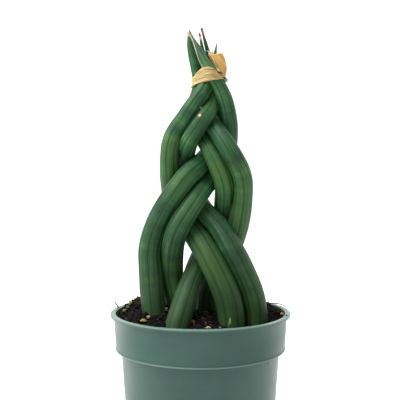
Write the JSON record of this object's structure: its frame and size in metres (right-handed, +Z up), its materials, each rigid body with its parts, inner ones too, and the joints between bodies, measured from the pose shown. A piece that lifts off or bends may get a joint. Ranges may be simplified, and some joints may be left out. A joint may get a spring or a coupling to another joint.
{
  "type": "potted_cylindrical_snake_plant",
  "caption": "Cylindrical snake plant with round ridged leaves braided in strands, tied near the top with a papery ribbon, in a grey-green plastic nursery pot",
  "frame": {"origin": "centre of the flat underside of the pot, on the surface it stands on", "axes": "+Z up along the pot's axis, the longest way of the object; -Y faces the viewer of the picture; +X is to the viewer's right"},
  "size_m": [0.16, 0.16, 0.3951],
  "materials": {
    "pot_plastic": "satin moulded polypropylene, grey-green",
    "potting_mix": "loose dark potting mix with pale bits",
    "leaf_skin": "waxy dark green leaf skin with soft paler cross-bands and fine dark lines",
    "shoot_skin": "waxy yellow-green young leaf",
    "ribbon": "tan papery ribbon with fine lengthwise streaks"
  },
  "bodies": {
    "root": {"pot": "pot_plastic", "soil": "potting_mix", "leaf_left_outer": "leaf_skin", "leaf_left_inner": "leaf_skin", "leaf_front": "leaf_skin", "leaf_back": "leaf_skin", "leaf_right_inner": "leaf_skin", "leaf_right_outer": "leaf_skin", "young_shoot": "shoot_skin", "ribbon_tie": "ribbon"}
  },
  "joints": []
}
